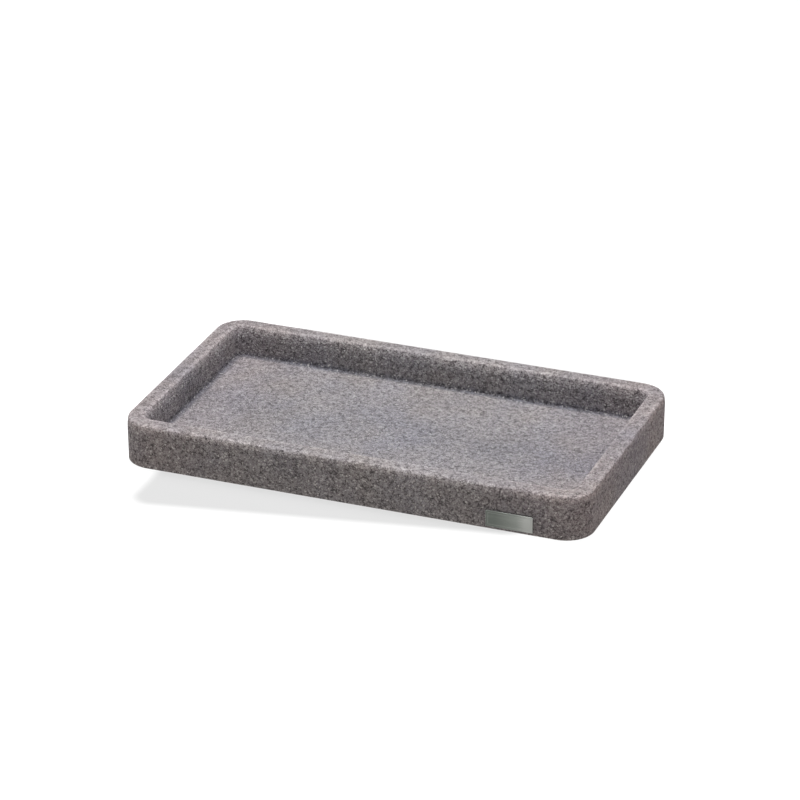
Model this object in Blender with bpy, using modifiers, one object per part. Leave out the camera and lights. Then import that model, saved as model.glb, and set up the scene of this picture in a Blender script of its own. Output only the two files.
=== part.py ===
"""Rectangular stone-effect tray: one cast body, a bare metal plate and four stick-on feet.

Metres, +Z up. The origin lies on the surface that the tray stands on, under the middle of its plan.
The long sides run along X, and the front, with the plate, faces -Y.
"""

import math

import bmesh
import bpy

# Cast body, its plan measured at the rim before the rim is rounded
LENGTH = 0.270
WIDTH = 0.152
FLOOR_THICKNESS = 0.0082
RECESS_DEPTH = 0.018
RIM_WIDTH = 0.011
CORNER_RADIUS = 0.0175
TIGHTEST_CORNER = 0.002

# How far the draft draws each wall in from top to bottom, so that the casting leaves its mould
OUTER_DRAFT = 0.0003
RECESS_DRAFT = 0.0008

# Roundings of the casting
BASE_FILLET = 0.0012
RIM_OUTER_FILLET = 0.0022
RIM_INNER_FILLET = 0.002
FLOOR_FILLET = 0.001

# Glue film behind the plate and above the feet
GLUE_FILM = 0.0003

# Metal plate on the front wall, placed from the casting's right end and from its base
PLATE_LENGTH = 0.0265
PLATE_HEIGHT = 0.0092
PLATE_THICKNESS = 0.0006
PLATE_CORNER_RADIUS = 0.0005
PLATE_EDGE_ROUNDING = 0.00015
PLATE_FROM_END = 0.0293
PLATE_FROM_BASE = 0.0022

# Rubber feet, tapering towards the surface that they stand on
FOOT_DIAMETER = 0.012
FOOT_TAPER = 0.0005
FOOT_THICKNESS = 0.0015
FOOT_EDGE_ROUNDING = 0.0003
FOOT_FROM_WALL = 0.020

# Fineness of the round stretches
CORNER_STEPS = 12
FILLET_STEPS = 5
PLATE_ROUNDING_STEPS = 3
FOOT_SIDES = 28
FOOT_ROUNDING_STEPS = 2

BODY_HEIGHT = FLOOR_THICKNESS + RECESS_DEPTH
BASE_LEVEL = FOOT_THICKNESS + GLUE_FILM
QUARTER_TURN = math.pi / 2
ROUND_PROFILE_SHARE = 0.5
SHARP_ANGLE = math.radians(40)

# Signs of X and Y for the corners of a plan, going round it anticlockwise
CORNER_SIDES = ((1, 1), (-1, 1), (-1, -1), (1, -1))


def start_collection(name):
    """Clears the scene and gives a new collection for the tray's parts."""
    for old in list(bpy.data.objects):
        bpy.data.objects.remove(old, do_unlink=True)
    collection = bpy.data.collections.new(name)
    bpy.context.scene.collection.children.link(collection)
    return collection


def linear(channel):
    """One sRGB channel, 0 to 255, as a linear value."""
    share = channel / 255
    if share <= 0.04045:
        return share / 12.92
    return ((share + 0.055) / 1.055) ** 2.4


def make_material(name, red, green, blue, roughness, metallic):
    """A plain material, its colour given in sRGB from 0 to 255."""
    material = bpy.data.materials.new(name)
    material.use_nodes = True
    shader = material.node_tree.nodes["Principled BSDF"]
    colour = (linear(red), linear(green), linear(blue), 1)
    shader.inputs["Base Color"].default_value = colour
    shader.inputs["Roughness"].default_value = roughness
    shader.inputs["Metallic"].default_value = metallic
    material.diffuse_color = colour
    return material


def add_piece(name, mesh, material, collection, parent):
    """Makes a mesh an object of the tray, smooth apart from its true edges."""
    if not mesh.materials:
        mesh.materials.append(material)
    mesh.shade_smooth()
    mesh.set_sharp_from_angle(angle=SHARP_ANGLE)
    piece = bpy.data.objects.new(name, mesh)
    piece.parent = parent
    collection.objects.link(piece)
    return piece


def add_bevel(piece, width, segments, limit):
    """Rounds a piece's edges with circular arcs."""
    bevel = piece.modifiers.new("rounding", "BEVEL")
    bevel.width = width
    bevel.segments = segments
    bevel.profile = ROUND_PROFILE_SHARE
    bevel.limit_method = limit
    bevel.harden_normals = True
    return bevel


def add_plan_ring(bm, inset, height):
    """Adds the points of the tray's rounded plan, drawn in by the inset, at a height."""
    radius = max(CORNER_RADIUS - inset, TIGHTEST_CORNER)
    centre_x = LENGTH / 2 - inset - radius
    centre_y = WIDTH / 2 - inset - radius
    ring = []
    for corner, (side_x, side_y) in enumerate(CORNER_SIDES):
        for step in range(CORNER_STEPS + 1):
            angle = QUARTER_TURN * (corner + step / CORNER_STEPS)
            x = side_x * centre_x + radius * math.cos(angle)
            y = side_y * centre_y + radius * math.sin(angle)
            ring.append(bm.verts.new((x, y, height)))
    return ring


def neighbours(ring):
    """Each point of a closed ring with the next one."""
    return zip(ring, ring[1:] + ring[:1])


def make_tray_body():
    """The casting: its section has four corners, and each is taken round the plan and rounded.

    The section runs from the base up the outer wall, over the rim and down the recess to the floor.
    The rim keeps its width round the corners, because each ring is drawn in from the same plan.
    """
    section = (
        (OUTER_DRAFT, 0, BASE_FILLET),
        (0, BODY_HEIGHT, RIM_OUTER_FILLET),
        (RIM_WIDTH, BODY_HEIGHT, RIM_INNER_FILLET),
        (RIM_WIDTH + RECESS_DRAFT, FLOOR_THICKNESS, FLOOR_FILLET),
    )
    largest_fillet = max(fillet for inset, height, fillet in section)
    bm = bmesh.new()
    weight = bm.edges.layers.float.new("bevel_weight_edge")
    rings = []
    for inset, height, fillet in section:
        ring = add_plan_ring(bm, inset, height)
        for start, end in neighbours(ring):
            bm.edges.new((start, end))[weight] = fillet / largest_fillet
        rings.append(ring)
    for ring, next_ring in zip(rings, rings[1:]):
        for (start, end), (next_start, next_end) in zip(neighbours(ring), neighbours(next_ring)):
            bm.faces.new((start, end, next_end, next_start))
    bm.faces.new(reversed(rings[0]))
    bm.faces.new(rings[-1])
    mesh = bpy.data.meshes.new("tray_body")
    bm.to_mesh(mesh)
    bm.free()
    return mesh, largest_fillet


def make_plate():
    """A thin plate standing in the XZ plane, with rounded corners."""
    bm = bmesh.new()
    bmesh.ops.create_cube(bm, size=1)
    bmesh.ops.scale(bm, vec=(PLATE_LENGTH, PLATE_THICKNESS, PLATE_HEIGHT), verts=bm.verts)
    through_edges = [edge for edge in bm.edges if edge.verts[0].co.y * edge.verts[1].co.y < 0]
    bmesh.ops.bevel(
        bm,
        geom=through_edges,
        offset=PLATE_CORNER_RADIUS,
        segments=PLATE_ROUNDING_STEPS,
        profile=ROUND_PROFILE_SHARE,
        affect="EDGES",
    )
    mesh = bpy.data.meshes.new("badge_plate")
    bm.to_mesh(mesh)
    bm.free()
    return mesh


def make_foot():
    """A round pad, narrower where it meets the surface that the tray stands on."""
    bm = bmesh.new()
    bmesh.ops.create_cone(
        bm,
        cap_ends=True,
        segments=FOOT_SIDES,
        radius1=FOOT_DIAMETER / 2 - FOOT_TAPER,
        radius2=FOOT_DIAMETER / 2,
        depth=FOOT_THICKNESS,
    )
    mesh = bpy.data.meshes.new("foot")
    bm.to_mesh(mesh)
    bm.free()
    return mesh


def place_plate(plate):
    """Lays the plate against the front wall, leaning with the wall's draft."""
    lean = math.atan2(OUTER_DRAFT, BODY_HEIGHT)
    middle_height = PLATE_FROM_BASE + PLATE_HEIGHT / 2
    wall_y = -WIDTH / 2 + OUTER_DRAFT * (1 - middle_height / BODY_HEIGHT)
    stand_off = GLUE_FILM + PLATE_THICKNESS / 2
    plate.rotation_euler.x = lean
    plate.location.x = LENGTH / 2 - PLATE_FROM_END - PLATE_LENGTH / 2
    plate.location.y = wall_y - stand_off * math.cos(lean)
    plate.location.z = BASE_LEVEL + middle_height - stand_off * math.sin(lean)


def place_foot(foot, side_x, side_y):
    """Stands a foot under one corner of the base."""
    foot.location.x = side_x * (LENGTH / 2 - FOOT_FROM_WALL)
    foot.location.y = side_y * (WIDTH / 2 - FOOT_FROM_WALL)
    foot.location.z = FOOT_THICKNESS / 2


def build_tray():
    """Builds every piece of the tray in one collection, under one empty."""
    collection = start_collection("stone_effect_tray")
    origin = bpy.data.objects.new("tray_origin", None)
    collection.objects.link(origin)

    resin = make_material("cast_stone_resin", 143, 139, 140, roughness=0.85, metallic=0)
    steel = make_material("brushed_steel", 158, 158, 155, roughness=0.35, metallic=1)
    rubber = make_material("grey_rubber", 70, 70, 70, roughness=0.9, metallic=0)

    body_mesh, largest_fillet = make_tray_body()
    body = add_piece("tray_body", body_mesh, resin, collection, origin)
    body.location.z = BASE_LEVEL
    add_bevel(body, largest_fillet, FILLET_STEPS, "WEIGHT")

    plate = add_piece("badge_plate", make_plate(), steel, collection, origin)
    place_plate(plate)
    add_bevel(plate, PLATE_EDGE_ROUNDING, PLATE_ROUNDING_STEPS, "ANGLE")

    foot_mesh = make_foot()
    for end, side_x in (("left", -1), ("right", 1)):
        for side, side_y in (("front", -1), ("rear", 1)):
            foot = add_piece(f"foot_{side}_{end}", foot_mesh, rubber, collection, origin)
            place_foot(foot, side_x, side_y)
            add_bevel(foot, FOOT_EDGE_ROUNDING, FOOT_ROUNDING_STEPS, "ANGLE")


build_tray()
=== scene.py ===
"""Washstand tray of cast stone resin: the finish of its pieces, a studio floor, lamps and a camera.

Metres, +Z up. The tray stands on the plane Z = 0 and its front, with the plate, faces -Y.
"""

import math
from functools import partial

import bmesh
import bpy
from mathutils import Matrix, Vector


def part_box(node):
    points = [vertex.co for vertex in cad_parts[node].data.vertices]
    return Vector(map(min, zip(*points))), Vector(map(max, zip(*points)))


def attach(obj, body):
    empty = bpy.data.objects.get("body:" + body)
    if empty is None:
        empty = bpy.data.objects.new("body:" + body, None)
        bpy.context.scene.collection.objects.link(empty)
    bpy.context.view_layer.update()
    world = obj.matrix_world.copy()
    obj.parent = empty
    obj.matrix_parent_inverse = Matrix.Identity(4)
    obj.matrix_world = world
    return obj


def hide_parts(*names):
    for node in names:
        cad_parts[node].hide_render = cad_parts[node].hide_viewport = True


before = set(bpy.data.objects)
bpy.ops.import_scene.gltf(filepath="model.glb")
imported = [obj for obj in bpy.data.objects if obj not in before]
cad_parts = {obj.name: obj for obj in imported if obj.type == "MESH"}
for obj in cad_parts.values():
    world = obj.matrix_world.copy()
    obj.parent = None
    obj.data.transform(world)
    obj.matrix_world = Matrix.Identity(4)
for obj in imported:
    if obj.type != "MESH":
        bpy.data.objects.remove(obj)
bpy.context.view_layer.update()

bl_info = {
    "name": "Cast stone tray",
    "version": (1, 0, 0),
    "blender": (4, 5, 0),
    "location": "View3D > Sidebar > Tray",
    "description": "Makes a cast stone washstand tray with its plate, feet and studio",
    "category": "Add Mesh",
}

BODY = "root"
FEET = ("foot_front_left", "foot_front_right", "foot_rear_left", "foot_rear_right")
QUARTER_TURN = math.pi / 2
WHITE = (1.0, 1.0, 1.0, 1.0)

# Points of a shape that lie closer than this become one
WELD_DISTANCE = 0.000005

# Fineness of the plate and its tape, and the angle past which their edges stay sharp
SLAB_CORNER_STEPS = 6
EDGE_STEPS = 3
SHARP_ANGLE = math.radians(35)

# The plate's corners stay at least this share of their radius where its rings draw in
TIGHTEST_CORNER_SHARE = 0.25

# Where the floor of the plate's pressed line lies, as shares of the line's width
GROOVE_FLOOR_SHARES = (0.35, 0.65)

# A mesh attribute: 1 along the rim's edges, where hands rub the stone and a painted highlight lies, -1
# for
# # the painted shade in the crease, and on the plate how bright its steel is drawn, with a painted
# highlight on the edges
SHADE_AND_SHINE = "wear"
EDGE_SHINE = 0.5

# Blender's noise lies mostly within the first span, and the second makes a clearer pattern of it
NOISE_SPAN = {"From Min": 0.3, "From Max": 0.7}
CLOUD_SPAN = {"From Min": 0.35, "From Max": 0.65}

# The normal's Z up to which a face counts as upright, and from which it counts as level
LEVEL_SPAN = {"From Min": 0.3, "From Max": 0.9}

# Where the solids stand, for the sizes that the pieces share with them
CASTING_LOW, CASTING_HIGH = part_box("tray_body")
PLATE_LOW, PLATE_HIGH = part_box("badge_plate")
FOOT_LOW, FOOT_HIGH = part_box("foot_rear_right")


def linear_colour(hex_text):
    """A colour written as sRGB hex, such as 8F8B8C, as linear red, green, blue and alpha."""
    channels = []
    for start in (0, 2, 4):
        share = int(hex_text[start:start + 2], 16) / 255
        if share <= 0.04045:
            channels.append(share / 12.92)
        else:
            channels.append(((share + 0.055) / 1.055) ** 2.4)
    return (*channels, 1.0)


def make_field(kind, name, description, default, **options):
    """A size, colour or other value that the sidebar shows."""
    maker = getattr(bpy.props, kind + "Property")
    return maker(name=name, description=description, default=default, **options)


# Lengths, plain numbers such as mixing shares, other strengths, points of the scene, whole numbers
length_field = partial(make_field, "Float", min=0.0, precision=5, subtype="DISTANCE")
share_field = partial(make_field, "Float", min=0.0, max=1.0, subtype="FACTOR")
strength_field = partial(make_field, "Float", min=0.0)
place_field = partial(make_field, "FloatVector", precision=4, subtype="TRANSLATION")
count_field = partial(make_field, "Int", min=0)


def angle_field(name, description, degrees):
    """An angle, written here in degrees."""
    return make_field("Float", name, description, math.radians(degrees), subtype="ANGLE")


def colour_field(name, description, hex_text):
    """A colour whose default is written as sRGB hex."""
    colour = linear_colour(hex_text)
    options = {"size": 4, "min": 0.0, "max": 1.0, "subtype": "COLOR"}
    return make_field("FloatVector", name, description, colour, **options)


class CastingSizes(bpy.types.PropertyGroup):
    """Sizes of the cast body; each name is also the name of its input in the geometry tree"""

    length: length_field("Length", "Side along X at the rim", CASTING_HIGH.x - CASTING_LOW.x)
    width: length_field("Width", "Side along Y at the rim", CASTING_HIGH.y - CASTING_LOW.y)
    wall_height: length_field("Wall Height", "From base to rim", CASTING_HIGH.z - CASTING_LOW.z)
    base_level: length_field("Base Level", "How high the feet hold the base", CASTING_LOW.z)
    corner_radius: length_field("Corner Radius", "Radius of the plan's corners at the rim", 0.0165)
    rim_width: length_field("Rim Width", "Width of the flat rim, also round the corners", 0.011)
    recess_depth: length_field("Recess Depth", "From the rim to the recess floor", 0.018)
    outer_draft: length_field("Outer Draft", "How far the outer wall draws in at its foot", 0.0002)
    recess_draft: length_field("Recess Draft", "How far the recess narrows to its floor", 0.0008)
    base_fillet: length_field("Base Fillet", "Rounding under the outer wall", 0.0009)
    rim_outer_fillet: length_field("Rim Outer Fillet", "Rounding of the rim, outside", 0.0019)
    rim_inner_fillet: length_field("Rim Inner Fillet", "Rounding of the rim, inside", 0.0016)
    outer_ease_width: length_field("Outer Ease Width", "How far the rubbed edge leans in", 0.0006)
    outer_ease_depth: length_field("Outer Ease Depth", "How far down it leans, outside", 0.005)
    inner_ease_width: length_field("Inner Ease Width", "How far the rubbed edge leans out", 0.0012)
    inner_ease_depth: length_field("Inner Ease Depth", "How far down it leans, inside", 0.006)
    ease_rounding: length_field("Ease Rounding", "Rounding where the lean begins", 0.02)
    floor_fillet: length_field("Floor Fillet", "Rounding round the recess floor", 0.001)
    # The paler line along the rim's edges is rubbing and a painted highlight; these two fields place
    # it
    rub_highlight_drop: length_field("Rubbed Drop", "How far under the rim's edges hands rub most", 0.0015)
    rub_highlight_reach: length_field("Rubbed Reach", "How far round that line hands rub", 0.004)
    # Painted shade: how far the painted darkening spreads from the crease round the floor
    crease_shade_reach: length_field("Crease Reach", "How far grime spreads from the crease", 0.005)
    wave_depth: length_field("Wave Depth", "How deep the casting's broad waves are", 0.00012)
    wave_size: length_field("Wave Size", "Width of a broad wave", 0.018)
    sand_depth: length_field("Sand Depth", "How deep the sandy unevenness is", 0.00005)
    sand_size: length_field("Sand Size", "Width of the sandy unevenness", 0.003)
    point_spacing: length_field("Point Spacing", "Widest distance between mesh points", 0.00135)
    fillet_steps: count_field("Fillet Steps", "Points round each rounding", 6)
    corner_steps: count_field("Corner Steps", "Points round each corner of the plan", 20)
    seed: count_field("Seed", "Picks another unevenness", 4)


class StoneLook(bpy.types.PropertyGroup):
    """Colours and grain of the cast stone"""

    # Real sand is about 0.2 mm wide, grit 0.5 mm and a quartz fleck 0.4 mm. They are drawn about
    # twice as wide, because in a picture of the whole tray finer ones blend to an even grey
    stone: colour_field("Stone", "Grains of the middle tone", "C5BBBA")
    dark_grit: colour_field("Dark Grit", "Darkest grains", "534F4F")
    pale_grit: colour_field("Pale Grit", "Palest grains", "F4EEEC")
    darkest: share_field("Darkest", "Tone at which grains are darkest", 0.10)
    middle: share_field("Middle", "Tone of most grains", 0.40)
    palest: share_field("Palest", "Tone at which grains are palest", 0.74)
    rarity: share_field("Rarity", "How rare the pale grains are", 2.2, max=5.0)
    sand_size: length_field("Sand Size", "Width of a fine grain", 0.0004)
    sand_share: share_field("Sand Share", "How much fine grains count", 0.45)
    grit_size: length_field("Grit Size", "Width of a coarse grain", 0.0009)
    grit_share: share_field("Grit Share", "How much coarse grains count", 0.24)
    clump_size: length_field("Clump Size", "Width of a clump of like grains", 0.0026)
    clump_share: share_field("Clump Share", "How much clumps count", 0.31)
    honed: share_field("Honed", "How far level faces are rubbed even", 0.17)
    fleck: colour_field("Fleck", "Flecks of quartz", "E9E6E5")
    fleck_size: length_field("Fleck Size", "Width of the cells that flecks lie in", 0.0008)
    fleck_rarity: share_field("Fleck Rarity", "How rare the flecks are", 12.0, max=50.0)
    # Painted glint: the flecks are made clearer on upright faces, where grains catch the overhead
    # light
    wall_fleck_glints: share_field("Wall Flecks", "How clear the flecks are on upright faces", 0.9)
    level_fleck_glints: share_field("Level Flecks", "How clear they are on level faces", 0.4)
    cloud_size: length_field("Cloud Size", "Width of a cloud in the mix of powders", 0.026)
    relief: length_field("Relief", "How far the grains stand out", 0.0008)
    roughest: share_field("Roughest", "Roughness where the grains are darkest", 0.95)
    smoothest: share_field("Smoothest", "Roughness where the grains are palest", 0.78)
    rim_depth: length_field("Rim Depth", "How far down the paler rim reaches", 0.007)
    cool_tint: colour_field("Cool Tint", "Where the clouds are cool", "F5F8FF")
    dark_tint: colour_field("Dark Tint", "Where the clouds are dark", "F0F0F0")
    # Painted highlight: everything but the rim's edges takes this tint, so the edges stay paler
    off_highlight_tint: colour_field("Flat Tint", "Away from the rubbed edges", "D5D5D5")
    low_tint: colour_field("Low Tint", "Below the rim", "FBFDFF")
    middle_tint: colour_field("Middle Tint", "Along the middle of the recess", "EDF0F5")
    middle_share: share_field("Middle Share", "How far out it begins, of half the width", 0.6)
    end_tint: colour_field("End Tint", "Towards the tray's two ends", "FFFAFA")
    end_near_share: share_field("End Near Share", "Where it begins, of half the length", 0.4)
    end_far_share: share_field("End Far Share", "Where it is full, of half the length", 0.9)
    # Painted shade: darkens the crease round the recess floor
    crease_shade_tint: colour_field("Crease Tint", "In the crease round the floor", "C0C4CC")


class PlateSettings(bpy.types.PropertyGroup):
    """Sizes and finish of the metal plate on the front wall"""

    height: length_field("Height", "Side up the wall", 0.0095)
    thickness: length_field("Thickness", "Thickness of the sheet", 0.0006)
    corner_radius: length_field("Corner Radius", "Radius of the plate's corners", 0.0005)
    edge_rounding: length_field("Edge Rounding", "Rounding of the sheared edges", 0.00015)
    border_width: length_field("Border Width", "From the edge to the pressed line", 0.0012)
    groove_width: length_field("Groove Width", "Width of the pressed line", 0.0003)
    groove_depth: length_field("Groove Depth", "Depth of the pressed line", 0.00008)
    tape_thickness: length_field("Tape Thickness", "Tape behind the plate", 0.0003)
    tape_inset: length_field("Tape Inset", "How far the tape stays inside the plate", 0.0003)
    tape_bite: length_field("Tape Bite", "How far tape fills the uneven stone behind it", 0.0002)
    # Painted highlight as well as brighter sheared steel: the plate's edges and pressed line take this
    # colour
    bright_steel: colour_field("Bright Steel", "Steel on the sheared and pressed edges", "9A9C98")
    # Painted reflection: these steels and the shares after them turn the plate darker and greener
    # towards its left end
    clean_steel: colour_field("Clean Steel", "Steel where the finish is fresh", "959692")
    worn_steel: colour_field("Worn Steel", "Steel where the finish is going", "797C77")
    dull_steel: colour_field("Dull Steel", "Steel where the finish has gone dull", "5E625D")
    brush_length: length_field("Brush Length", "Length of a brush mark", 0.012)
    brush_width: length_field("Brush Width", "Width of a brush mark", 0.00035)
    brush_depth: length_field("Brush Depth", "Depth of a brush mark", 0.00001)
    # The brush marks break up the painted reflection's darkening
    brushed_share: share_field("Brushed Share", "How much brush marks break up the dulling", 0.3)
    dullest: share_field("Dullest", "How fresh the finish is where it is dullest", 0.35)
    going: share_field("Going", "How fresh the finish is where it is going", 0.8)
    smoothest: share_field("Smoothest", "Roughness of the smoothest marks", 0.28)
    roughest: share_field("Roughest", "Roughness of the roughest marks", 0.42)


class FootSizes(bpy.types.PropertyGroup):
    """Sizes of the stick-on feet; each name is also the name of its input in the geometry tree"""

    diameter: length_field("Diameter", "Across a foot, at its top", FOOT_HIGH.x - FOOT_LOW.x)
    taper: length_field("Taper", "How far a foot narrows downwards", 0.0005)
    thickness: length_field("Thickness", "Height of the rubber", FOOT_HIGH.z - FOOT_LOW.z)
    groove_inset: length_field("Groove Inset", "From the foot's edge to its groove", 0.0008)
    groove_width: length_field("Groove Width", "Half the width of the groove", 0.0004)
    groove_depth: length_field("Groove Depth", "Depth of the groove underneath", 0.0003)
    groove_rounding: length_field("Groove Rounding", "Rounding of the groove's edges", 0.0001)
    edge_rounding: length_field("Edge Rounding", "Rounding of the lower edge", 0.0003)
    tape_inset: length_field("Tape Inset", "How far the tape stays inside the foot", 0.0004)
    tape_thickness: length_field("Tape Thickness", "Tape, with what fills uneven stone", 0.0005)
    distance_x: length_field("Distance X", "Between two feet's middles", FOOT_HIGH.x + FOOT_LOW.x)
    distance_y: length_field("Distance Y", "Between two feet's middles", FOOT_HIGH.y + FOOT_LOW.y)
    point_spacing: length_field("Point Spacing", "Widest distance between mesh points", 0.0015)
    fillet_steps: count_field("Fillet Steps", "Points round each rounding", 3)
    corner_steps: count_field("Corner Steps", "Points round a quarter of a foot", 12)


class SoftLook(bpy.types.PropertyGroup):
    """Colours and grain of the rubber and the tape"""

    # Real moulded grain is about 0.2 mm wide and a foam cell 0.1 mm; both are drawn coarser to show
    rubber: colour_field("Rubber", "The rubber itself", "454546")
    bloom: colour_field("Bloom", "The pale bloom on the rubber", "5A5A5A")
    grain_size: length_field("Grain Size", "Width of the moulded grain", 0.0006)
    smoothest: share_field("Smoothest", "Roughness of the bare rubber", 0.6)
    roughest: share_field("Roughest", "Roughness of the rubber under its bloom", 0.8)
    tape: colour_field("Tape", "The foam of the tape", "38383A")
    cell: colour_field("Cell", "Walls of the foam's cells", "555557")
    cell_size: length_field("Cell Size", "Width of a cell in the foam", 0.0002)
    relief: length_field("Relief", "How far the grain and the cells stand out", 0.00002)


class StudioSettings(bpy.types.PropertyGroup):
    """Camera, lamps, world and floor"""

    turn: angle_field("Turn", "Camera's turn round the tray, towards its right end", 21.0)
    rise: angle_field("Rise", "Camera's angle above the horizon", 25.38)
    distance: length_field("Distance", "From the camera to its aim point", 2.1635)
    aim: place_field("Aim", "Point at the middle of the picture", (-0.0028, 0.0107, 0.0250))
    lens: strength_field("Lens", "Focal length, sensor 36 mm", 175.7, subtype="DISTANCE_CAMERA")
    lamp_power: strength_field("Lamp Power", "Power of the soft box", 14.2, subtype="POWER")
    lamp_size: length_field("Lamp Size", "Side of the soft box", 0.6)
    lamp_place: place_field("Lamp Place", "Middle of the soft box", (-0.02, -0.02, 1.1))
    sky: share_field("Sky", "Strength of the light from all round", 0.05)
    floor_side: length_field("Floor Side", "Side of the studio floor", 4.0)
    floor_bounce: colour_field("Floor Bounce", "Board as it lights the tray from below", "282624")
    floor_light: share_field("Floor Light", "How much the board itself glows on the tray", 0.555)
    glow_tint: colour_field("Glow Tint", "Colour of that glow", "FFF8F2")
    right_tint: colour_field("Right Tint", "Its colour beyond the tray's right end", "F2E2E1")
    right_near_share: share_field("Right Near Share", "Where it begins, of half the length", 0.9)
    right_far_share: share_field("Right Far Share", "Where it is full, of the same", 1.3, max=5.0)
    floor_shade: colour_field("Floor Shade", "Board as the camera sees it, but for its glow", "383838")
    floor_glow: share_field("Floor Glow", "Brightness of the board in full shadow", 0.712)
    # Painted spill of light: the next fields draw the outline outside which the board's glow is
    # painted up to white
    spill_reach: length_field("Spill Reach", "From the tray's middle to the shadow's end", 0.0905)
    spill_turn: angle_field("Spill Turn", "Slant of the shadow's far edge against the front", 10.6)
    spill_right: length_field("Spill Right", "From the middle to the shadow's right end", 0.10)
    spill_left: length_field("Spill Left", "From the middle to the shadow's left end", 0.113)
    spill_rounding: length_field("Spill Rounding", "Rounding of the shadow's corners", 0.012)
    spill_blur: length_field("Spill Blur", "Width over which the shadow ends", 0.008)
    back_light: strength_field("Back Light", "Lamp behind, which lights only the board", 43.0)
    back_turn: angle_field("Back Turn", "Turn of that lamp, towards the tray's left end", 6.0)
    back_rise: angle_field("Back Rise", "Angle of that lamp above the horizon", 29.0)
    back_spread: angle_field("Back Spread", "Angle that the lamp behind fills in the sky", 8.0)


def own_fields(settings):
    """The fields that a settings group has been given above."""
    return [field for field in settings.bl_rna.properties if field.is_runtime]


def tree_inputs(settings, **others):
    """Each value of a settings group by its field's name, for the inputs of a geometry tree."""
    values = {field.name: getattr(settings, field.identifier) for field in own_fields(settings)}
    return {**values, **others}


def set_inputs(node, inputs):
    """Sets inputs, each named or numbered, to a value or links them to a node or its socket."""
    for key, value in inputs.items():
        if isinstance(key, str):
            socket = next(found for found in node.inputs if found.name == key and found.enabled)
        else:
            socket = node.inputs[key]
        if isinstance(value, bpy.types.Node):
            value = next(output for output in value.outputs if output.enabled)
        if isinstance(value, bpy.types.NodeSocket):
            node.id_data.links.new(value, socket)
        else:
            socket.default_value = value


def add_node(tree, kind, inputs=None, **settings):
    """Adds a node of a kind, named without its ShaderNode or GeometryNode, and sets it up."""
    families = ("ShaderNode", "GeometryNode", "")
    family = next(found for found in families if hasattr(bpy.types, found + kind))
    node = tree.nodes.new(family + kind)
    for name, value in settings.items():
        setattr(node, name, value)
    set_inputs(node, inputs or {})
    return node


def new_shape_tree(name, inputs):
    """A geometry tree with a named input for each size and material, and what adds its nodes."""
    tree = bpy.data.node_groups.new(name, "GeometryNodeTree")
    for label, value in inputs.items():
        kind = "NodeSocketFloat"
        if isinstance(value, int):
            kind = "NodeSocketInt"
        if isinstance(value, bpy.types.Material):
            kind = "NodeSocketMaterial"
        tree.interface.new_socket(label, in_out="INPUT", socket_type=kind)
    tree.interface.new_socket("Mesh", in_out="OUTPUT", socket_type="NodeSocketGeometry")
    return tree, partial(add_node, tree), tree.nodes.new("NodeGroupInput").outputs


def grow_shape(name, tree, inputs):
    """Runs a geometry tree with its inputs and gives the result as a plain mesh object."""
    seed = link_object(name + "_seed", bpy.data.meshes.new(name + "_seed"))
    modifier = seed.modifiers.new(tree.name, "NODES")
    modifier.node_group = tree
    for item in tree.interface.items_tree:
        if item.in_out == "INPUT":
            modifier[item.identifier] = inputs[item.name]
    evaluated = seed.evaluated_get(bpy.context.evaluated_depsgraph_get())
    mesh = bpy.data.meshes.new_from_object(evaluated)
    bpy.data.objects.remove(seed, do_unlink=True)
    mesh.name = name
    return link_piece(name, mesh)


def link_object(name, data):
    """Makes a mesh, a lamp or a camera an object of the scene, at the origin."""
    thing = bpy.data.objects.new(name, data)
    bpy.context.scene.collection.objects.link(thing)
    return thing


def link_piece(name, mesh):
    """Makes a mesh a piece of the tray or the studio."""
    if not mesh.polygons:
        raise RuntimeError(f"{name} came out with no faces")
    return link_object(name, mesh)


def add_section(add, corners, steps):
    """A section in the XY plane: its corners are (reach, height, fillet), and each is rounded."""
    index = add("InputIndex")
    places = add("IndexSwitch", {"Index": index}, data_type="VECTOR")
    fillets = add("IndexSwitch", {"Index": index}, data_type="FLOAT")
    for switch in (places, fillets):
        while len(switch.index_switch_items) < len(corners):
            switch.index_switch_items.new()
    for number, (reach, height, fillet) in enumerate(corners):
        place = add("CombineXYZ", {"X": reach, "Y": height})
        set_inputs(places, {str(number): place})
        set_inputs(fillets, {str(number): fillet})
    points = add("MeshLine", {"Count": len(corners)})
    placed = add("SetPosition", {"Geometry": points, "Position": places})
    outline = add("MeshToCurve", {"Mesh": placed})
    return add("FilletCurve", {"Curve": outline, "Count": steps, "Radius": fillets}, mode="POLY")


def add_even_points(add, curve, spacing):
    """Divides a curve's long stretches, so that its points lie no wider than the spacing."""
    place = add("InputPosition")
    index = add("InputIndex")
    following = add("OffsetPointInCurve", {"Point Index": index, "Offset": 1})
    following = following.outputs["Point Index"]
    next_place = add("FieldAtIndex", {"Value": place, "Index": following}, data_type="FLOAT_VECTOR")
    length = add("VectorMath", {0: place, 1: next_place}, operation="DISTANCE")
    share = add("Math", {0: length, 1: spacing}, operation="DIVIDE")
    cuts = add("Math", {0: share}, operation="FLOOR")
    return add("SubdivideCurve", {"Curve": curve, "Cuts": cuts})


def add_core_grid(add, core, spacing, height):
    """A flat grid over the core rectangle, with the same points on its border as the sweep has."""
    sides = add("SeparateXYZ", {0: core})
    grid = add("MeshGrid")
    for axis in "XY":
        side = add("Math", {0: sides.outputs[axis], 1: 2.0}, operation="MULTIPLY")
        share = add("Math", {0: side, 1: spacing}, operation="DIVIDE")
        steps = add("Math", {0: share}, operation="FLOOR")
        points = add("Math", {0: steps, 1: 2.0}, operation="ADD")
        set_inputs(grid, {"Size " + axis: side, "Vertices " + axis: points})
    lift = add("CombineXYZ", {"Z": height})
    return add("Transform", {"Geometry": grid, "Translation": lift})


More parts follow.
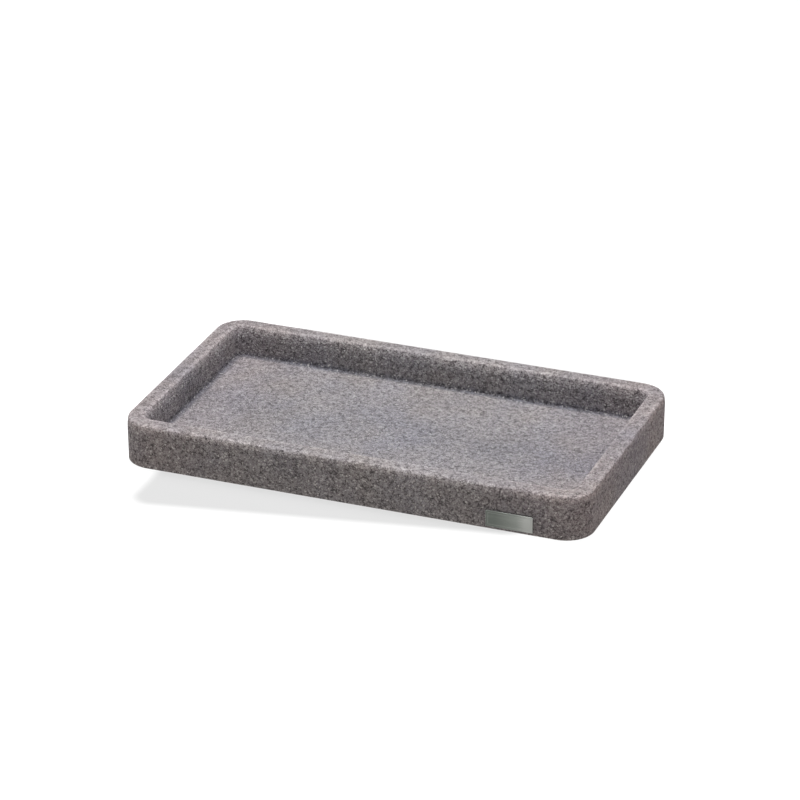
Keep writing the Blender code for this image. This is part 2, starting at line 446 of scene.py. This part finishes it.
def add_sweep(add, size, corners, length, width, radius):
    """Makes a section from its corners and carries it round a plan with round corners.

    Reach is measured outwards from the core, the rectangle on which the centres of the plan's
    corners lie. So these corners stay true arcs at every reach. The section begins and ends at a
    reach of zero, where two grids close the shape. With the shape comes each point's place on the
    section, which is zero all over the grids.
    """
    spacing = size["Point Spacing"]
    outline = add_section(add, corners, size["Fillet Steps"])
    section = add_even_points(add, outline, spacing)
    full_size = add("CombineXYZ", {"X": length, "Y": width})
    half_size = add("VectorMath", {0: full_size, "Scale": 0.5}, operation="SCALE")
    corner = add("CombineXYZ", {"X": radius, "Y": radius})
    core = add("VectorMath", {0: half_size, 1: corner}, operation="SUBTRACT")
    opposite = add("VectorMath", {0: core, "Scale": -1.0}, operation="SCALE")

    rectangle = add("CurvePrimitiveQuadrilateral", {"Width": length, "Height": width})
    rounded = add(
        "FilletCurve",
        {"Curve": rectangle, "Count": size["Corner Steps"], "Radius": radius},
        mode="POLY",
    )
    path = add_even_points(add, rounded, spacing)
    place = add("InputPosition")
    kept = []
    for curve, label in ((path, "plan point"), (section, "section point")):
        keeper = add("CaptureAttribute", {"Geometry": curve})
        keeper.capture_items.new("VECTOR", label)
        set_inputs(keeper, {label: place})
        kept.append(keeper)
    path_keeper, section_keeper = kept
    skin = add("CurveToMesh", {"Curve": path_keeper, "Profile Curve": section_keeper})

    on_plan = path_keeper.outputs["plan point"]
    on_section = add("SeparateXYZ", {0: section_keeper.outputs["section point"]})
    below = add("VectorMath", {0: on_plan, 1: core}, operation="MINIMUM")
    centre = add("VectorMath", {0: below, 1: opposite}, operation="MAXIMUM")
    spoke = add("VectorMath", {0: on_plan, 1: centre}, operation="SUBTRACT")
    outwards = add("VectorMath", {0: spoke}, operation="NORMALIZE")
    reached = add("VectorMath", {0: outwards, "Scale": on_section.outputs["X"]}, operation="SCALE")
    height = add("CombineXYZ", {"Z": on_section.outputs["Y"]})
    flat_place = add("VectorMath", {0: centre, 1: reached}, operation="ADD")
    full_place = add("VectorMath", {0: flat_place, 1: height}, operation="ADD")
    placed = add("SetPosition", {"Geometry": skin, "Position": full_place})

    # The sweep and the lower grid come out with their faces towards the inside
    lower_end = add_core_grid(add, core, spacing, corners[0][1])
    upper_end = add_core_grid(add, core, spacing, corners[-1][1])
    joined = add("JoinGeometry")
    for inside_out in (placed, lower_end):
        turned = add("FlipFaces", {"Mesh": inside_out})
        set_inputs(joined, {"Geometry": turned})
    set_inputs(joined, {"Geometry": upper_end})
    closed = add("MergeByDistance", {"Geometry": joined, "Distance": WELD_DISTANCE})
    return closed, section_keeper.outputs["section point"]


def cover_shape(add, shape, material):
    """Makes a shape's instances real, shades it smooth and gives it its main material."""
    real = add("RealizeInstances", {"Geometry": shape})
    smooth = add("SetShadeSmooth", {"Geometry": real})
    return add("SetMaterial", {"Geometry": smooth, "Material": material})


def casting_tree(inputs):
    """The tray's body: a section with a rim and a recess, swept round the plan and left uneven."""
    tree, add, size = new_shape_tree("cast_tray_body", inputs)
    rim, radius = size["Wall Height"], size["Corner Radius"]
    # The paler line under the rim's edges, a painted highlight as well as rubbing, lies at the rubbed
    # height
    floor, outer_lean, inner_lean, rubbed = (
        add("Math", {0: rim, 1: size[drop]}, operation="SUBTRACT")
        for drop in ("Recess Depth", "Outer Ease Depth", "Inner Ease Depth", "Rubbed Drop")
    )
    reach = {"wall": radius}
    for name, start, operation, change in (
        ("base", "wall", "SUBTRACT", "Outer Draft"),
        ("outer edge", "wall", "SUBTRACT", "Outer Ease Width"),
        ("recess", "wall", "SUBTRACT", "Rim Width"),
        ("floor", "recess", "SUBTRACT", "Recess Draft"),
        ("inner edge", "recess", "ADD", "Inner Ease Width"),
    ):
        reach[name] = add("Math", {0: reach[start], 1: size[change]}, operation=operation)
    wall = {"From Min": floor, "From Max": rim, "To Min": reach["floor"], "To Max": reach["recess"]}
    reach["inner lean"] = add("MapRange", {"Value": inner_lean, **wall})
    corners = (
        (0.0, 0.0, 0.0),
        (reach["base"], 0.0, size["Base Fillet"]),
        (reach["wall"], outer_lean, size["Ease Rounding"]),
        (reach["outer edge"], rim, size["Rim Outer Fillet"]),
        (reach["inner edge"], rim, size["Rim Inner Fillet"]),
        (reach["inner lean"], inner_lean, size["Ease Rounding"]),
        (reach["floor"], floor, size["Floor Fillet"]),
        (0.0, floor, 0.0),
    )
    body, on_section = add_sweep(add, size, corners, size["Length"], size["Width"], radius)
    # Painted shade and highlight: -1 darkens the crease round the floor, and 1 keeps the rim's edges
    # paler, as rubbing and a painted highlight
    wear = 0.0
    for name, height, spread, change in (
        ("floor", floor, "Crease Reach", -1.0),
        ("outer edge", rubbed, "Rubbed Reach", 1.0),
        ("inner edge", rubbed, "Rubbed Reach", 1.0),
    ):
        edge = add("CombineXYZ", {"X": reach[name], "Y": height})
        away = add("VectorMath", {0: on_section, 1: edge}, operation="DISTANCE")
        span = {"From Max": size[spread], "To Min": change, "To Max": 0.0}
        near = add("MapRange", {"Value": away, **span}, interpolation_type="SMOOTHSTEP")
        wear = add("Math", {0: wear, 1: near}, operation="ADD")
    body = add("StoreNamedAttribute", {"Geometry": body, "Name": SHADE_AND_SHINE, "Value": wear})
    lift = add("CombineXYZ", {"Z": size["Base Level"]})
    body = add("Transform", {"Geometry": body, "Translation": lift})

    # The relief only sinks in, so the body never grows past its solid
    place = add("InputPosition")
    normal = add("InputNormal")
    sunk = 0.0
    for depth, width in (("Wave Depth", "Wave Size"), ("Sand Depth", "Sand Size")):
        frequency = add("Math", {0: 1.0, 1: size[width]}, operation="DIVIDE")
        noise = add(
            "TexNoise",
            {"Vector": place, "W": size["Seed"], "Scale": frequency, "Detail": 1.0},
            noise_dimensions="4D",
        )
        sunk = add("Math", {0: noise, 1: size[depth], 2: sunk}, operation="MULTIPLY_ADD")
    inwards = add("Math", {0: sunk, 1: -1.0}, operation="MULTIPLY")
    relief = add("VectorMath", {0: normal, "Scale": inwards}, operation="SCALE")
    uneven = add("SetPosition", {"Geometry": body, "Offset": relief})
    add("NodeGroupOutput", {"Mesh": cover_shape(add, uneven, size["Stone"])})
    return tree


def foot_tree(inputs):
    """The stick-on feet: one turned pad with a grip groove, set on the four corners of a grid.

    The tape on a foot's top is part of the same turned section, and takes its own material.
    """
    tree, add, size = new_shape_tree("stick_on_feet", inputs)
    radius = add("Math", {0: size["Diameter"], 1: 2.0}, operation="DIVIDE")
    reaches = [radius]
    for inset in ("Taper", "Groove Inset", "Groove Width", "Groove Width"):
        reaches.append(add("Math", {0: reaches[-1], 1: size[inset]}, operation="SUBTRACT"))
    upper, lower, groove_outside, groove_middle, groove_inside = reaches
    tape_reach = add("Math", {0: radius, 1: size["Tape Inset"]}, operation="SUBTRACT")
    tape_top = add("Math", {0: size["Thickness"], 1: size["Tape Thickness"]}, operation="ADD")
    corners = (
        (0.0, 0.0, 0.0),
        (groove_inside, 0.0, size["Groove Rounding"]),
        (groove_middle, size["Groove Depth"], size["Groove Rounding"]),
        (groove_outside, 0.0, size["Groove Rounding"]),
        (lower, 0.0, size["Edge Rounding"]),
        (upper, size["Thickness"], size["Groove Rounding"]),
        (tape_reach, size["Thickness"], 0.0),
        (tape_reach, tape_top, 0.0),
        (0.0, tape_top, 0.0),
    )
    pad = add_sweep(add, size, corners, size["Diameter"], size["Diameter"], radius)[0]
    spread = {"Size X": size["Distance X"], "Size Y": size["Distance Y"]}
    places = add("MeshGrid", {**spread, "Vertices X": 2, "Vertices Y": 2})
    feet = add("InstanceOnPoints", {"Points": places, "Instance": pad})
    rubbery = cover_shape(add, feet, size["Rubber"])
    sides = add("SeparateXYZ", {0: add("InputPosition")})
    is_tape = add("Math", {0: sides.outputs["Z"], 1: size["Thickness"]}, operation="GREATER_THAN")
    taped = {"Selection": is_tape, "Material": size["Tape"]}
    add("NodeGroupOutput", {"Mesh": add("SetMaterial", {"Geometry": rubbery, **taped})})
    return tree


def plan_ring(bm, length, height, radius, depth):
    """Adds the points of an upright rectangle with round corners, facing along Y at a depth."""
    ring = []
    for corner, (side_x, side_z) in enumerate(((1, 1), (-1, 1), (-1, -1), (1, -1))):
        for step in range(SLAB_CORNER_STEPS + 1):
            angle = QUARTER_TURN * (corner + step / SLAB_CORNER_STEPS)
            x = side_x * (length / 2 - radius) + radius * math.cos(angle)
            z = side_z * (height / 2 - radius) + radius * math.sin(angle)
            ring.append(bm.verts.new((x, depth, z)))
    return ring


def slab_piece(name, outline, section, middle, lean, material):
    """An upright slab with round corners, its front towards -Y, its place and lean in the mesh.

    The outline is its length, height and corner radius. The section runs from the back to the
    front, and each of its entries is one ring of the slab: its inset, its depth, and how bright its
    steel is drawn, which on the plate's edges is a painted highlight as well as sheared steel.
    """
    length, height, radius = outline
    bm = bmesh.new()
    worn = bm.verts.layers.float.new(SHADE_AND_SHINE)
    rings = []
    for inset, depth, wear in section:
        drawn_in = max(radius - inset, TIGHTEST_CORNER_SHARE * radius)
        ring = plan_ring(bm, length - 2 * inset, height - 2 * inset, drawn_in, depth)
        for point in ring:
            point[worn] = wear
        rings.append(ring)
    for ring, next_ring in zip(rings, rings[1:]):
        for number in range(len(ring)):
            following = (number + 1) % len(ring)
            bm.faces.new((ring[number], ring[following], next_ring[following], next_ring[number]))
    bm.faces.new(rings[0])
    bm.faces.new(rings[-1])
    bm.transform(Matrix.Translation(middle) @ Matrix.Rotation(lean, 4, "X"))
    bmesh.ops.recalc_face_normals(bm, faces=bm.faces)
    mesh = bpy.data.meshes.new(name)
    bm.to_mesh(mesh)
    bm.free()
    mesh.materials.append(material)
    mesh.shade_smooth()
    mesh.set_sharp_from_angle(angle=SHARP_ANGLE)
    return link_piece(name, mesh)


def plate_section(settings):
    """The plate's section: softened back edge, softened front edge, border and pressed line."""
    half = settings.thickness / 2
    rounding = settings.edge_rounding
    turn = []
    for step in range(EDGE_STEPS + 1):
        angle = QUARTER_TURN * step / EDGE_STEPS
        turn.append((rounding * (1 - math.sin(angle)), rounding * (1 - math.cos(angle))))
    border = settings.border_width
    groove = settings.groove_width
    groove_floor = settings.groove_depth - half
    return (
        *[(inset, half - drop, EDGE_SHINE) for inset, drop in turn],
        *[(inset, drop - half, EDGE_SHINE) for inset, drop in reversed(turn)],
        (2 * rounding, -half, 0.0),
        (border, -half, 0.0),
        *[(border + share * groove, groove_floor, EDGE_SHINE) for share in GROOVE_FLOOR_SHARES],
        (border + groove, -half, 0.0),
    )


def new_material(name, uniform):
    """A material, what adds its nodes, and its shader with what is the same all over."""
    material = bpy.data.materials.new(name)
    material.use_nodes = True
    add = partial(add_node, material.node_tree)
    shader = material.node_tree.nodes["Principled BSDF"]
    set_inputs(shader, uniform)
    place = add("TexCoord").outputs["Object"]
    return material, add, shader, place


def add_rare_cells(add, place, cell_size, rarity):
    """One random share for each cell of a pattern: low in most cells, and near one in a few."""
    cells = add("TexVoronoi", {"Vector": place, "Scale": 1 / cell_size})
    each = add("SeparateColor", {0: cells.outputs["Color"]})
    return add("Math", {0: each, 1: rarity}, operation="POWER")


def stone_material(look):
    """Cast stone resin: stone powder, grit and quartz bound in resin, cast, then rubbed matt.

    The eye sees a mid grey with dark and pale grains and a few bright flecks, faint warm and cool
    clouds, a paler line along the rim's edges that is rubbing and a painted highlight, a painted
    shade in the crease round the floor, and next to no gloss, because the skin is sandy.
    """
    material, add, shader, place = new_material("cast_stone_resin", {"IOR": 1.5})

    # The grains' borders wander by a fraction of a grain, so that they aren't straight
    wander = add("TexNoise", {"Vector": place, "Scale": 1 / look.grit_size, "Detail": 2.0})
    centred = add(
        "VectorMath", {0: wander.outputs["Color"], 1: (0.5, 0.5, 0.5)}, operation="SUBTRACT"
    )
    shift = add("VectorMath", {0: centred, "Scale": look.grit_size}, operation="SCALE")
    ragged = add("VectorMath", {0: place, 1: shift}, operation="ADD")

    clumps = add("TexNoise", {"Vector": place, "Scale": 1 / look.clump_size, "Detail": 3.0})
    tone = 0.0
    for grains, share in (
        (add_rare_cells(add, ragged, look.sand_size, look.rarity), look.sand_share),
        (add_rare_cells(add, ragged, look.grit_size, look.rarity), look.grit_share),
        (add("MapRange", {"Value": clumps, **NOISE_SPAN}), look.clump_share),
    ):
        tone = add("Math", {0: grains, 1: share, 2: tone}, operation="MULTIPLY_ADD")
    colour = add("ValToRGB", {0: tone})
    stops = colour.color_ramp.elements
    stops[0].position, stops[0].color = look.darkest, look.dark_grit
    stops[1].position, stops[1].color = look.palest, look.pale_grit
    stops.new(look.middle).color = look.stone
    facing = add("TexCoord").outputs["Normal"]
    up = add("SeparateXYZ", {0: facing}).outputs["Z"]
    level = add("MapRange", {"Value": up, **LEVEL_SPAN, "To Max": look.honed})
    colour = add("Mix", {"Factor": level, "A": colour, "B": look.stone}, data_type="RGBA")

    # Each tint darkens the colour where its own share is high, and the rim's edges, which escape the
    #     # tint away from them, stay paler as rubbing and a painted highlight. The two seeds only make
    #     one
    #     # pattern of clouds differ from the other
    tints = []
    for seed, tint in ((0.0, look.cool_tint), (7.0, look.dark_tint)):
        clouds = add(
            "TexNoise",
            {"Vector": place, "W": seed, "Scale": 1 / look.cloud_size, "Detail": 2.5},
            noise_dimensions="4D",
        )
        share = add("MapRange", {"Value": clouds, **CLOUD_SPAN})
        tints.append((share, tint))
    wear = add("Attribute", attribute_name=SHADE_AND_SHINE).outputs["Fac"]
    sides = add("SeparateXYZ", {0: place})
    off_middle, off_centre = (
        add("Math", {0: sides.outputs[axis]}, operation="ABSOLUTE") for axis in "YX"
    )
    end, side, rim = CASTING_HIGH
    for value, none, full, tint in (
        # Painted highlight: the rim's edges escape this tint, so they stay paler, as rubbing and a
        # painted highlight
        (wear, 1.0, 0.0, look.off_highlight_tint),
        (sides.outputs["Z"], rim, rim - look.rim_depth, look.low_tint),
        (off_middle, look.middle_share * side, 0.0, look.middle_tint),
        (off_centre, look.end_near_share * end, look.end_far_share * end, look.end_tint),
        # Painted shade in the crease round the recess floor
        (wear, 0.0, -1.0, look.crease_shade_tint),
    ):
        span = {"From Min": none, "From Max": full}
        share = add("MapRange", {"Value": value, **span}, interpolation_type="SMOOTHSTEP")
        tints.append((share, tint))
    for share, tint in tints:
        mixed = {"Factor": share, "A": colour, "B": tint}
        colour = add("Mix", mixed, data_type="RGBA", blend_type="MULTIPLY")

    # The flecks keep their own pale colour and are made clearer on the walls than on level faces,
    #     # as a painted glint of grains catching the overhead light and because nothing rubs the walls
    rare = add_rare_cells(add, place, look.fleck_size, look.fleck_rarity)
    clear = add(
        "MapRange",
        {"Value": up, **LEVEL_SPAN, "To Min": look.wall_fleck_glints, "To Max": look.level_fleck_glints},
    )
    flecks = add("Math", {0: rare, 1: clear}, operation="MULTIPLY")
    colour = add("Mix", {"Factor": flecks, "A": colour, "B": look.fleck}, data_type="RGBA")
    rough = add("MapRange", {"Value": tone, "To Min": look.roughest, "To Max": look.smoothest})
    bump = add("Bump", {"Height": wander, "Distance": look.relief})
    set_inputs(shader, {"Base Color": colour, "Roughness": rough, "Normal": bump})
    return material


def steel_material(look):
    """Stainless steel sheet, brushed lengthwise, with a painted reflection that turns darker towards
    the left end.

    The eye sees a soft satin grey with fine lines along the plate, darker and greener at the left.
    The brush marks are drawn several times as wide as real ones, so that they show.
    """
    material, add, shader, place = new_material(
        "brushed_stainless_steel", {"Metallic": 1.0, "Anisotropic": 0.4}
    )
    sides = add("SeparateXYZ", {0: place})
    along = add(
        "MapRange", {"Value": sides.outputs["X"], "From Min": PLATE_LOW.x, "From Max": PLATE_HIGH.x}
    )
    marks = (1 / look.brush_length, 1 / look.brush_width, 1 / look.brush_width)
    stretched = add("Mapping", {"Vector": place, "Scale": marks})
    brushing = add("TexNoise", {"Vector": stretched, "Scale": 1.0, "Detail": 2.0})
    # Painted reflection: the steel's colour runs from dark at the left end to pale at the right
    fresh = add("Math", {0: brushing, 1: look.brushed_share, 2: along}, operation="MULTIPLY_ADD")
    colour = add("ValToRGB", {0: fresh})
    stops = colour.color_ramp.elements
    stops[0].position, stops[0].color = look.dullest, look.dull_steel
    stops[1].position, stops[1].color = 1.0, look.clean_steel
    stops.new(look.going).color = look.worn_steel
    # The edges and the pressed line take the paler steel, a painted highlight as well as sheared steel
    shine = add("Attribute", attribute_name=SHADE_AND_SHINE).outputs["Fac"]
    colour = add("Mix", {"Factor": shine, "A": colour, "B": look.bright_steel}, data_type="RGBA")
    rough = add(
        "MapRange",
        {"Value": brushing, **NOISE_SPAN, "To Min": look.smoothest, "To Max": look.roughest},
    )
    bump = add("Bump", {"Height": brushing, "Distance": look.brush_depth})
    set_inputs(shader, {"Base Color": colour, "Roughness": rough, "Normal": bump})
    return material


def rubber_material(look):
    """Polyurethane rubber, moulded.

    The eye sees a dull dark grey with a slight bloom and a fine grain from the mould.
    """
    material, add, shader, place = new_material("moulded_polyurethane_rubber", {"IOR": 1.5})
    grain = add("TexNoise", {"Vector": place, "Scale": 1 / look.grain_size, "Detail": 3.0})
    shade = add("Mix", {"Factor": grain, "A": look.rubber, "B": look.bloom}, data_type="RGBA")
    rough = add(
        "MapRange",
        {"Value": grain, **NOISE_SPAN, "To Min": look.smoothest, "To Max": look.roughest},
    )
    bump = add("Bump", {"Height": grain, "Distance": look.relief})
    set_inputs(shader, {"Base Color": shade, "Roughness": rough, "Normal": bump})
    return material


def tape_material(look):
    """Acrylic foam tape, cut.

    The eye sees a dull dark film whose edge shows the foam's small closed cells.
    """
    material, add, shader, place = new_material("cut_acrylic_foam_tape", {"Roughness": 0.8})
    cells = add("TexVoronoi", {"Vector": place, "Scale": 1 / look.cell_size})
    shade = add("Mix", {"Factor": cells, "A": look.tape, "B": look.cell}, data_type="RGBA")
    bump = add("Bump", {"Height": cells, "Distance": look.relief})
    set_inputs(shader, {"Base Color": shade, "Normal": bump})
    return material


def add_seen_share(add):
    """1 on rays that show a surface to the eye, straight, in gloss or through glass, and else 0."""
    path = add("LightPath")
    seen = path.outputs["Is Camera Ray"]
    for kind in ("Is Glossy Ray", "Is Transmission Ray"):
        seen = add("Math", {0: seen, 1: path.outputs[kind]}, operation="MAXIMUM")
    return seen


def floor_material(studio):
    """Painted board: white to the eye, while it lights the tray with a soft warm glow.

    The eye sees a pale shadow in front of the tray, cut off along a rounded outline outside which
    the glow is painted up to white as a painted spill of light, and on the tray's right end a glow
    that is pinker and weaker.
    """
    uniform = {"Roughness": 1.0, "Specular IOR Level": 0.0}
    material, add, shader, place = new_material("white_studio_board", uniform)
    seen = add_seen_share(add)
    paint = add(
        "Mix", {"Factor": seen, "A": studio.floor_bounce, "B": studio.floor_shade}, data_type="RGBA"
    )
    sides = add("SeparateXYZ", {0: place})
    end = CASTING_HIGH.x
    span = {"From Min": studio.right_near_share * end, "From Max": studio.right_far_share * end}
    along = sides.outputs["X"]
    past_end = add("MapRange", {"Value": along, **span}, interpolation_type="SMOOTHSTEP")
    tint = add(
        "Mix", {"Factor": past_end, "A": studio.glow_tint, "B": studio.right_tint}, data_type="RGBA"
    )
    warm = add("Mix", {"Factor": seen, "A": tint, "B": WHITE}, data_type="RGBA")
    # Painted spill of light: outside a rounded outline round the shadow the board's glow is painted up
    # to white, so the shadow ends there
    slant = (math.sin(studio.spill_turn), -math.cos(studio.spill_turn), 0)
    past_round = add("CombineXYZ")
    edge, blur = studio.spill_rounding, studio.spill_blur / 2
    for axis, direction, reach in (
        ("X", (-1, 0, 0), studio.spill_left),
        ("Y", slant, studio.spill_reach),
        ("Z", (1, 0, 0), studio.spill_right),
    ):
        out = add("VectorMath", {0: place, 1: direction}, operation="DOT_PRODUCT")
        past = add("Math", {0: out, 1: reach - edge}, operation="SUBTRACT")
        set_inputs(past_round, {axis: past})
    outside = add("VectorMath", {0: past_round, 1: (0.0, 0.0, 0.0)}, operation="MAXIMUM")
    away = add("VectorMath", {0: outside}, operation="LENGTH")
    span = {"From Min": edge - blur, "From Max": edge + blur, "To Min": studio.floor_glow}
    painted_spill_glow = add("MapRange", {"Value": away, **span}, interpolation_type="SMOOTHSTEP")
    glow = add("Mix", {"Factor": seen, "A": studio.floor_light, "B": painted_spill_glow}, data_type="FLOAT")
    set_inputs(shader, {"Base Color": paint, "Emission Color": warm, "Emission Strength": glow})
    return material


def light_world(sky):
    """A world that lights the tray evenly from all round and is plain white to the eye."""
    world = bpy.data.worlds.new("studio_world")
    world.use_nodes = True
    add = partial(add_node, world.node_tree)
    background = world.node_tree.nodes["Background"]
    strength = add("MapRange", {"Value": add_seen_share(add), "To Min": sky})
    set_inputs(background, {"Color": WHITE, "Strength": strength})
    bpy.context.scene.world = world


class TRAY_OT_cast_body(bpy.types.Operator):
    """Cast the tray's body in stone resin"""

    bl_idname = "tray.cast_body"
    bl_label = "Cast Body"

    def execute(self, context):
        scene = context.scene
        inputs = tree_inputs(scene.tray_casting, Stone=stone_material(scene.tray_stone))
        body = grow_shape("cast_body", casting_tree(inputs), inputs)
        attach(body, BODY)
        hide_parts("tray_body")
        return {"FINISHED"}


class TRAY_OT_fix_plate(bpy.types.Operator):
    """Fix the bare metal plate and its tape to the front wall"""

    bl_idname = "tray.fix_plate"
    bl_label = "Fix Plate"

    def execute(self, context):
        settings = context.scene.tray_plate
        casting = context.scene.tray_casting
        lean = math.atan2(casting.outer_draft, casting.wall_height)
        middle = (PLATE_LOW + PLATE_HIGH) / 2
        outline = (PLATE_HIGH.x - PLATE_LOW.x, settings.height, settings.corner_radius)
        section = plate_section(settings)
        steel = steel_material(settings)
        plate = slab_piece("metal_plate", outline, section, middle, lean, steel)
        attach(plate, BODY)
        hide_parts("badge_plate")

        tape_depth = settings.tape_thickness + settings.tape_bite
        tape_section = [(settings.tape_inset, side * tape_depth / 2, 0.0) for side in (1, -1)]
        inwards = Vector((0, math.cos(lean), math.sin(lean)))
        behind = middle + inwards * (settings.thickness + tape_depth) / 2
        foam = tape_material(context.scene.tray_soft)
        tape = slab_piece("plate_tape", outline, tape_section, behind, lean, foam)
        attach(tape, BODY)
        return {"FINISHED"}


class TRAY_OT_stick_feet(bpy.types.Operator):
    """Stick the four rubber feet under the base"""

    bl_idname = "tray.stick_feet"
    bl_label = "Stick Feet"

    def execute(self, context):
        look = context.scene.tray_soft
        inputs = tree_inputs(
            context.scene.tray_feet, Rubber=rubber_material(look), Tape=tape_material(look)
        )
        feet = grow_shape("rubber_feet", foot_tree(inputs), inputs)
        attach(feet, BODY)
        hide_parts(*FEET)
        return {"FINISHED"}


class TRAY_OT_set_studio(bpy.types.Operator):
    """Set up the studio floor, the lamps, the world and the camera"""

    bl_idname = "tray.set_studio"
    bl_label = "Set Studio"

    def execute(self, context):
        scene = context.scene
        studio = scene.tray_studio
        scene.view_settings.view_transform = "Standard"
        light_world(studio.sky)

        bm = bmesh.new()
        bmesh.ops.create_grid(bm, x_segments=1, y_segments=1, size=studio.floor_side / 2)
        mesh = bpy.data.meshes.new("studio_floor")
        bm.to_mesh(mesh)
        bm.free()
        mesh.materials.append(floor_material(studio))
        floor = link_piece("studio_floor", mesh)

        lamp = bpy.data.lights.new("soft_box", "AREA")
        lamp.energy = studio.lamp_power
        lamp.size = studio.lamp_size
        soft_box = link_object("soft_box", lamp)
        soft_box.location = studio.lamp_place
        soft_box.rotation_euler = studio.lamp_place.to_track_quat("Z", "Y").to_euler()

        # It lights the board alone, and the tray's shadow on the board comes from it
        sun = bpy.data.lights.new("back_light", "SUN")
        sun.energy = studio.back_light
        sun.angle = studio.back_spread
        back_light = link_object("back_light", sun)
        back_light.rotation_euler = (studio.back_rise - QUARTER_TURN, 0, studio.back_turn)
        lit = bpy.data.collections.new("lit_from_behind")
        lit.objects.link(floor)
        back_light.light_linking.receiver_collection = lit

        camera_data = bpy.data.cameras.new("product_camera")
        camera_data.lens = studio.lens
        camera = link_object("product_camera", camera_data)
        camera.rotation_euler = (QUARTER_TURN - studio.rise, 0, studio.turn)
        backwards = camera.rotation_euler.to_matrix() @ Vector((0, 0, 1))
        camera.location = studio.aim + backwards * studio.distance
        scene.camera = camera
        return {"FINISHED"}


# For each step in the sidebar: its operator and the settings that it reads
STEPS = (
    ("tray.cast_body", ("tray_casting", "tray_stone")),
    ("tray.fix_plate", ("tray_plate",)),
    ("tray.stick_feet", ("tray_feet", "tray_soft")),
    ("tray.set_studio", ("tray_studio",)),
)


class TRAY_PT_maker(bpy.types.Panel):
    """The steps that make the tray, each under its sizes and colours"""

    bl_idname = "TRAY_PT_maker"
    bl_label = "Cast Stone Tray"
    bl_space_type = "VIEW_3D"
    bl_region_type = "UI"
    bl_category = "Tray"

    def draw(self, context):
        for operator, groups in STEPS:
            box = self.layout.box()
            for group in groups:
                settings = getattr(context.scene, group)
                for field in own_fields(settings):
                    box.prop(settings, field.identifier)
            box.operator(operator)


SETTINGS = {
    "tray_casting": CastingSizes,
    "tray_stone": StoneLook,
    "tray_plate": PlateSettings,
    "tray_feet": FootSizes,
    "tray_soft": SoftLook,
    "tray_studio": StudioSettings,
}
CLASSES = (
    *SETTINGS.values(),
    TRAY_OT_cast_body,
    TRAY_OT_fix_plate,
    TRAY_OT_stick_feet,
    TRAY_OT_set_studio,
    TRAY_PT_maker,
)


def register():
    """Registers the classes and puts the settings on the scene."""
    for cls in CLASSES:
        bpy.utils.register_class(cls)
    for name, group in SETTINGS.items():
        setattr(bpy.types.Scene, name, bpy.props.PointerProperty(type=group))


def unregister():
    """Takes the settings and the classes away again."""
    for name in SETTINGS:
        delattr(bpy.types.Scene, name)
    for cls in reversed(CLASSES):
        bpy.utils.unregister_class(cls)


def main():
    """Makes every piece and the studio."""
    register()
    bpy.ops.tray.cast_body()
    bpy.ops.tray.fix_plate()
    bpy.ops.tray.stick_feet()
    bpy.ops.tray.set_studio()


if __name__ == "__main__":
    main()
